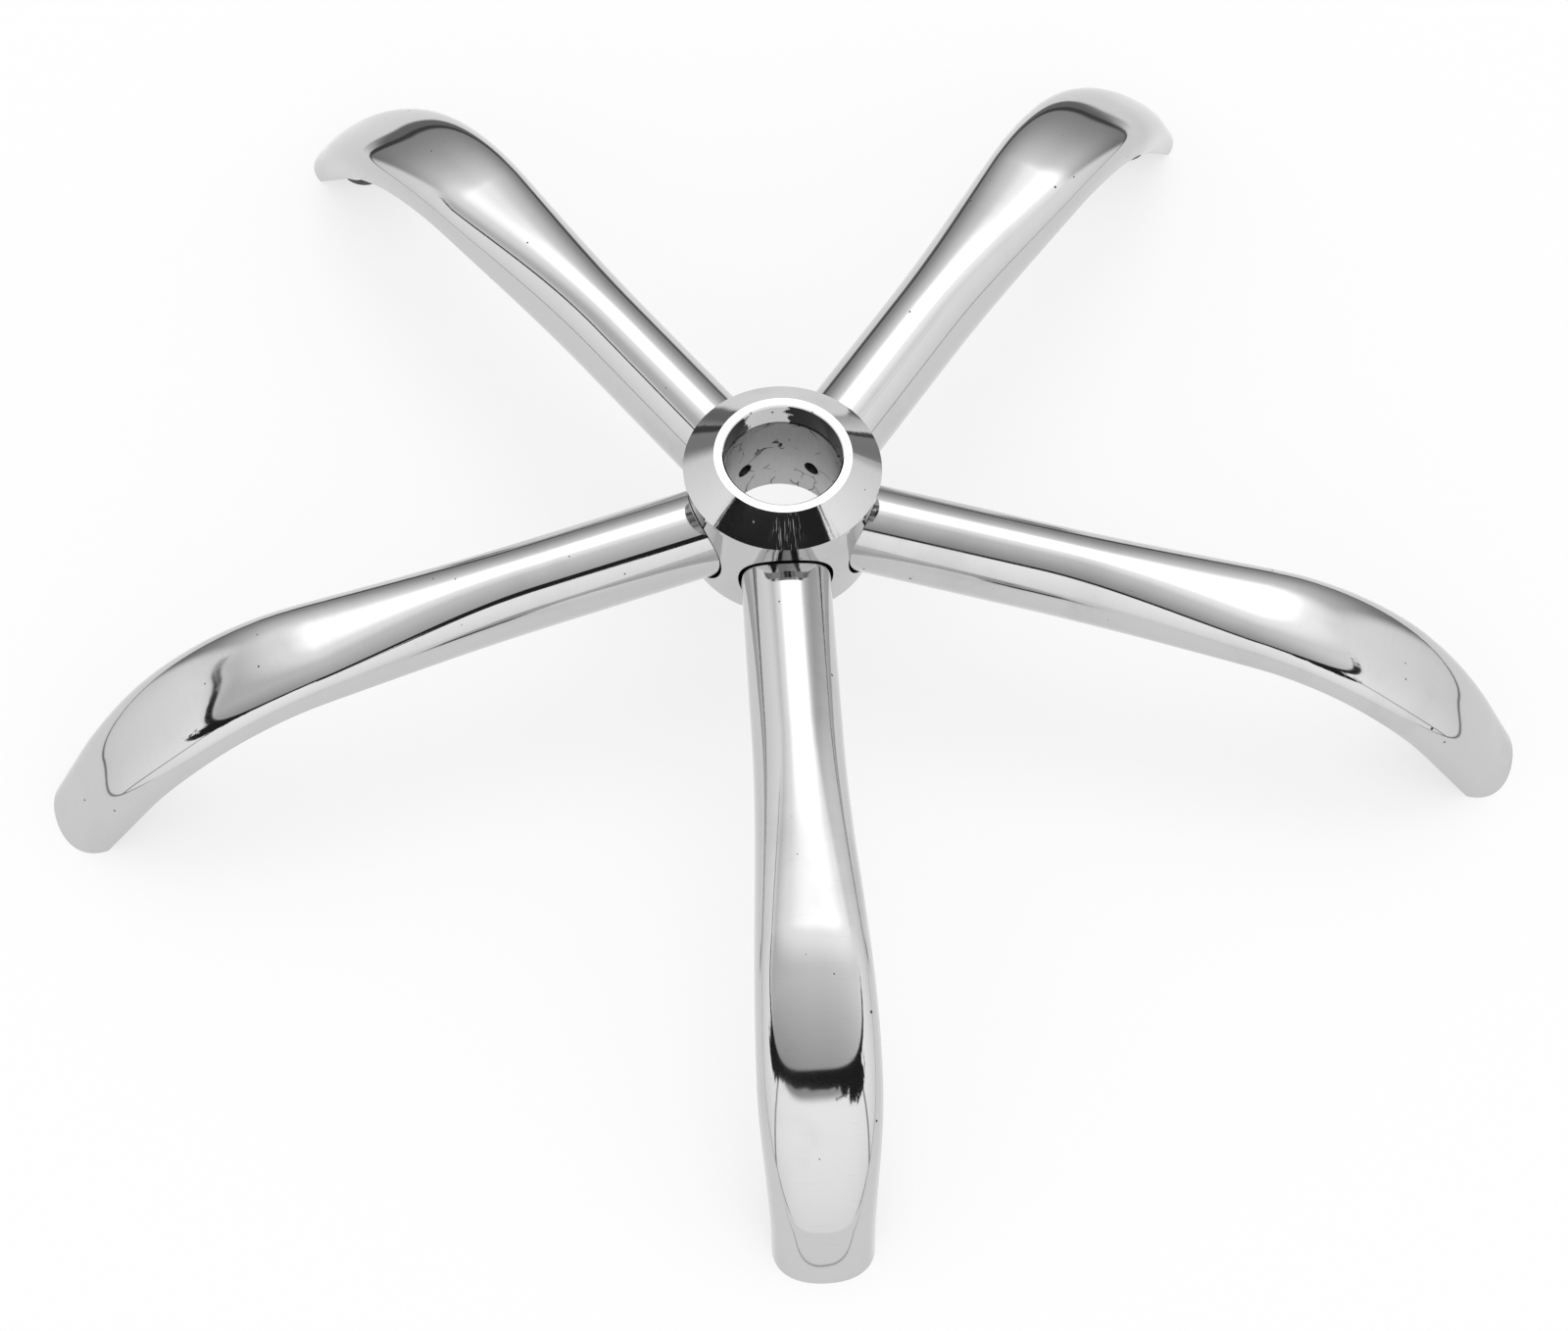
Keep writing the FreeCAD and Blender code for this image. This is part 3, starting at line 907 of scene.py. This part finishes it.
def lay_floor(studio):
    """White paper with the base's soft shadow, and the table painted in as the chrome mirrors it.
    """
    bpy.ops.object.select_all(action="DESELECT")
    bpy.ops.mesh.primitive_plane_add(size=studio.floor_size, location=(0.0, 0.0, FLOOR_HEIGHT))
    floor = bpy.context.object
    floor.name = "studio_floor"
    bpy.ops.object.transform_apply(location=True, rotation=True, scale=True)
    material = new_material("White seamless paper")
    add = partial(add_node, material.node_tree)
    paper = add("BsdfDiffuse", {"Color": rgba(studio.floor_colour), "Roughness": 0.0})
    rays = add("LightPath")
    seen = add(
        "Math", rays.outputs["Is Camera Ray"], rays.outputs["Is Glossy Ray"], operation="ADD"
    )
    seen = add("Math", seen, rays.outputs["Is Transmission Ray"], operation="ADD")
    seen = add("Math", seen, 1.0, operation="MINIMUM")

    # Painted reflection of the table, seen only by glossy rays: its front edge, and the shaded gap
    # behind it.
    place = add("TexCoord").outputs["Object"]
    place = add("SeparateXYZ", {"Vector": place})
    aside = add("Math", place.outputs["X"], operation="ABSOLUTE")
    edge = add("Math", aside, TABLE_SWEEP, place.outputs["Y"], operation="MULTIPLY_ADD")
    edge = add("Math", add("Math", edge, TABLE_FRONT, operation="SUBTRACT"), operation="ABSOLUTE")
    edge = add("MapRange", edge, 0.6 * TABLE_EDGE, TABLE_EDGE, TABLE_EDGE_DARK, 0.0, **SMOOTH)
    far = TABLE_BACK + TABLE_BACK_FADE
    gap = add("MapRange", place.outputs["Y"], TABLE_BACK, far, 0.0, TABLE_BACK_DARK, **SMOOTH)
    ahead = add("Math", place.outputs["Y"], 0.1, operation="MAXIMUM")
    aside = add("Math", aside, ahead, operation="DIVIDE")
    middle = add("MapRange", aside, *TABLE_BACK_SIDES, 1.0, 0.0, **SMOOTH)
    gap = add("Math", gap, middle, operation="MULTIPLY")
    dark = add("Math", edge, gap, operation="MAXIMUM")
    # Only glossy rays see this painted dark reflection.
    dark = add("Math", dark, rays.outputs["Is Glossy Ray"], operation="MULTIPLY")
    lit = add("Math", 1.0, dark, operation="SUBTRACT")
    white = add("Emission", {"Color": WHITE, "Strength": lit})
    share = add("Math", seen, FLOOR_GLOW, operation="MULTIPLY")
    share = add("Math", share, dark, operation="MAXIMUM")
    surface = add("MixShader", {0: share, 1: paper, 2: white})
    add("OutputMaterial", {"Surface": surface})
    floor.data.materials.append(material)


def light_tent(scene, studio):
    """Pale cloth walls, a roof that darkens towards the camera, and a bright panel behind."""
    world = bpy.data.worlds.new("Light tent")
    scene.world = world
    world.use_nodes = True
    world.node_tree.nodes.clear()
    add = partial(add_node, world.node_tree)
    direction = add("TexCoord").outputs["Generated"]
    way = add("SeparateXYZ", {"Vector": direction})
    lift = add("Math", way.outputs["Z"], operation="ARCSINE")
    lift = add("Math", lift, 180.0 / math.pi, operation="MULTIPLY")
    behind = way.outputs["Y"]
    aside = add("Math", way.outputs["X"], behind, operation="ARCTAN2")
    aside = add("Math", aside, 180.0 / math.pi, operation="MULTIPLY")

    # The roof cloth darkens towards the camera and round a bright panel up behind.
    roof = add("Math", way.outputs["X"], ROOF_RIGHT, ROOF_LEVEL, operation="MULTIPLY_ADD")
    front = add("Math", behind, 0.0, operation="MINIMUM")
    roof = add("Math", front, ROOF_FRONT, roof, operation="MULTIPLY_ADD")
    off_panel = add("VectorMath", {0: direction, 1: PANEL_WAY}, operation="SUBTRACT")
    off_panel = add("VectorMath", {0: off_panel, 1: PANEL_SHAPE}, operation="MULTIPLY")
    off_panel = add("VectorMath", {0: off_panel}, operation="LENGTH")
    for glow in (PANEL_CORE, PANEL_HALO):
        roof = add("Math", add("MapRange", off_panel, *glow, 0.0, **SMOOTH), roof, operation="ADD")
    roof = add("Math", roof, ROOF_LEAST, operation="MAXIMUM")

    # The walls are paler cloth, grey straight behind.
    wall = add("Math", way.outputs["Z"], WALL_UP, WALL_LEVEL, operation="MULTIPLY_ADD")
    wall = add("Math", behind, WALL_BACK, wall, operation="MULTIPLY_ADD")
    grey = add("Math", way.outputs["Z"], way.outputs["Z"], operation="MULTIPLY")
    grey = add("Math", grey, GREY_UP, GREY_LEVEL, operation="MULTIPLY_ADD")
    off_middle = add("Math", aside, GREY_MIDDLE, operation="SUBTRACT")
    off_middle = add("Math", off_middle, operation="ABSOLUTE")
    back = add("MapRange", off_middle, *GREY_SIDES, 1.0, 0.0, **SMOOTH)
    near, far, least = GREY_DIM
    dimming = add("MapRange", off_middle, near, far, 1.0, least, **SMOOTH)
    grey = add("Math", grey, dimming, operation="MULTIPLY")
    drop = add("Math", grey, wall, operation="SUBTRACT")
    wall = add("Math", back, drop, wall, operation="MULTIPLY_ADD")

    # A dark seam runs along the foot of the walls, and one climbs on either side in front.
    wide = add("MapRange", behind, 0.72, 0.92, *FOOT_SEAM_WIDTHS, **SMOOTH)
    foot = add("Math", add("Math", lift, FOOT_SEAM, operation="SUBTRACT"), operation="ABSOLUTE")
    foot = add("Math", foot, wide, operation="DIVIDE")
    foot = add("MapRange", foot, 0.4, 1.0, FOOT_SEAM_DARK, 0.0, **SMOOTH)
    foot = add("Math", foot, add("MapRange", behind, -0.92, -0.75, **SMOOTH), operation="MULTIPLY")
    seam = add("Math", aside, operation="ABSOLUTE")
    seam = add("Math", lift, SIDE_SEAM_LEAN, seam, operation="MULTIPLY_ADD")
    seam = add("Math", add("Math", seam, SIDE_SEAM, operation="SUBTRACT"), operation="ABSOLUTE")
    seam = add("MapRange", seam, 0.9, 2.0, SIDE_SEAM_DARK, 0.0, **SMOOTH)
    seams = add("Math", foot, seam, operation="MAXIMUM")
    wall = add("Math", wall, add("Math", 1.0, seams, operation="SUBTRACT"), operation="MULTIPLY")

    # The roof comes down lower behind than in front, and meets the walls less sharply there.
    edge = add("MapRange", behind, -0.5, 0.3, *ROOF_EDGE, **SMOOTH)
    soft = add("MapRange", behind, -0.3, 0.3, *ROOF_EDGE_SOFT, **SMOOTH)
    above = add("Math", add("Math", lift, edge, operation="SUBTRACT"), soft, operation="DIVIDE")
    high = add("MapRange", above, -1.0, 1.0, **SMOOTH)
    drop = add("Math", roof, wall, operation="SUBTRACT")
    level = add("Math", high, drop, wall, operation="MULTIPLY_ADD")

    # The camera sees plain white behind the base.
    seen = add("LightPath").outputs["Is Camera Ray"]
    drop = add("Math", 1.0, level, operation="SUBTRACT")
    level = add("Math", seen, drop, level, operation="MULTIPLY_ADD")
    level = add("Math", level, studio.light_level, operation="MULTIPLY")
    light = add("Background", {"Color": WHITE, "Strength": level})
    add("OutputWorld", {"Surface": light})


def hang_dark_card():
    """A ragged strip of black cloth, curved over the base, seen only in the chrome."""
    bpy.ops.object.select_all(action="DESELECT")
    bpy.ops.mesh.primitive_plane_add(size=CARD_SIDE, location=(0.0, 0.0, CARD_HEIGHT))
    card = bpy.context.object
    card.name = "studio_dark_card"
    bpy.ops.object.transform_apply(location=True, rotation=True, scale=True)
    card.visible_camera = False
    card.visible_shadow = False
    card.visible_diffuse = False
    material = new_material("Black cloth")
    add = partial(add_node, material.node_tree)
    place = add("TexCoord").outputs["Object"]
    ragged = add(
        "TexNoise", {"Vector": place, "Scale": CARD_TEAR_SCALE, "Detail": 3.0, "Roughness": 0.55}
    )
    ragged = add("Math", ragged, 0.5, operation="SUBTRACT")
    place = add("SeparateXYZ", {"Vector": place})
    wide = add("Math", place.outputs["X"], CARD_HALF_WIDTH, operation="DIVIDE")
    ahead = add("Math", place.outputs["Y"], -1.0, operation="MULTIPLY")
    turn = add("Math", place.outputs["X"], ahead, operation="ARCTAN2")
    turn = add("Math", turn, 180.0 / math.pi, CARD_TURN, operation="MULTIPLY_ADD")
    turn = add("Math", turn, operation="ABSOLUTE")
    deep = add("Math", place.outputs["Y"], CARD_CENTRE, operation="SUBTRACT")
    deep = add("Math", deep, CARD_HALF_DEPTH, operation="DIVIDE")
    square = add("Math", deep, deep, operation="MULTIPLY")
    square = add("Math", wide, wide, square, operation="MULTIPLY_ADD")
    reach = add("Math", square, operation="SQRT")
    turn = add("Math", ragged, CARD_TEAR_TURN, turn, operation="MULTIPLY_ADD")
    flare = add("MapRange", turn, *CARD_FLARE_PLACE, 0.0, CARD_FLARE, **SMOOTH)
    outer = add("MapRange", turn, *CARD_TAIL_PLACE, CARD_OUTER, CARD_TAIL - CARD_FLARE, **SMOOTH)
    outer = add("Math", outer, flare, operation="ADD")
    torn = add("MapRange", turn, *CARD_TEAR_PLACE, *CARD_TEAR, **SMOOTH)
    outer = add("Math", ragged, torn, outer, operation="MULTIPLY_ADD")
    start = add("MapRange", reach, 0.99, 1.01, **SMOOTH)
    end = add("MapRange", add("Math", outer, reach, operation="SUBTRACT"), -0.003, 0.003, **SMOOTH)
    stop = add("MapRange", turn, *CARD_END, 1.0, 0.0, **SMOOTH)
    cover = add("Math", add("Math", start, end, operation="MULTIPLY"), stop, operation="MULTIPLY")
    clear = add("BsdfTransparent")
    black = add("Emission", {"Color": CLOTH_BLACK, "Strength": 1.0})
    surface = add("MixShader", {0: cover, 1: clear, 2: black})
    add("OutputMaterial", {"Surface": surface})
    card.data.materials.append(material)


def stand_camera(scene, studio):
    """The camera at the photograph's viewing angle."""
    bpy.ops.object.select_all(action="DESELECT")
    bpy.ops.object.camera_add(location=studio.camera_place, rotation=studio.camera_turn)
    camera = bpy.context.object
    camera.data.sensor_width = 36.0
    camera.data.lens = studio.lens
    camera.data.clip_start = 0.05
    camera.data.clip_end = 50.0
    scene.camera = camera
    scene.view_settings.view_transform = "Standard"


class CHAIRBASE_PT_panel(bpy.types.Panel):
    """The steps of the chair base, in order"""

    bl_idname = "CHAIRBASE_PT_panel"
    bl_label = "Chair Base"
    bl_space_type = "VIEW_3D"
    bl_region_type = "UI"
    bl_category = "Chair Base"

    def draw(self, context):
        for operator in OPERATORS:
            self.layout.operator(operator.bl_idname)
        for name in SETTINGS:
            box = self.layout.box()
            group = getattr(context.scene, name)
            for key in group.__annotations__:
                box.prop(group, key)


SETTINGS = {
    "chrome": ChromeSettings,
    "steel": SteelSettings,
    "weld": WeldSettings,
    "studio": StudioSettings,
}
OPERATORS = (
    CHAIRBASE_OT_hub,
    CHAIRBASE_OT_arms,
    CHAIRBASE_OT_sleeves,
    CHAIRBASE_OT_welds,
    CHAIRBASE_OT_studio,
)


def register():
    for group in SETTINGS.values():
        bpy.utils.register_class(group)
    for operator in OPERATORS:
        bpy.utils.register_class(operator)
    bpy.utils.register_class(CHAIRBASE_PT_panel)
    for name, group in SETTINGS.items():
        setattr(bpy.types.Scene, name, bpy.props.PointerProperty(type=group))


def unregister():
    for name in SETTINGS:
        delattr(bpy.types.Scene, name)
    bpy.utils.unregister_class(CHAIRBASE_PT_panel)
    for operator in reversed(OPERATORS):
        bpy.utils.unregister_class(operator)
    for group in reversed(list(SETTINGS.values())):
        bpy.utils.unregister_class(group)


def main():
    register()
    bpy.ops.chairbase.hub()
    bpy.ops.chairbase.arms()
    bpy.ops.chairbase.sleeves()
    bpy.ops.chairbase.welds()
    bpy.ops.chairbase.studio()


if __name__ == "__main__":
    main()
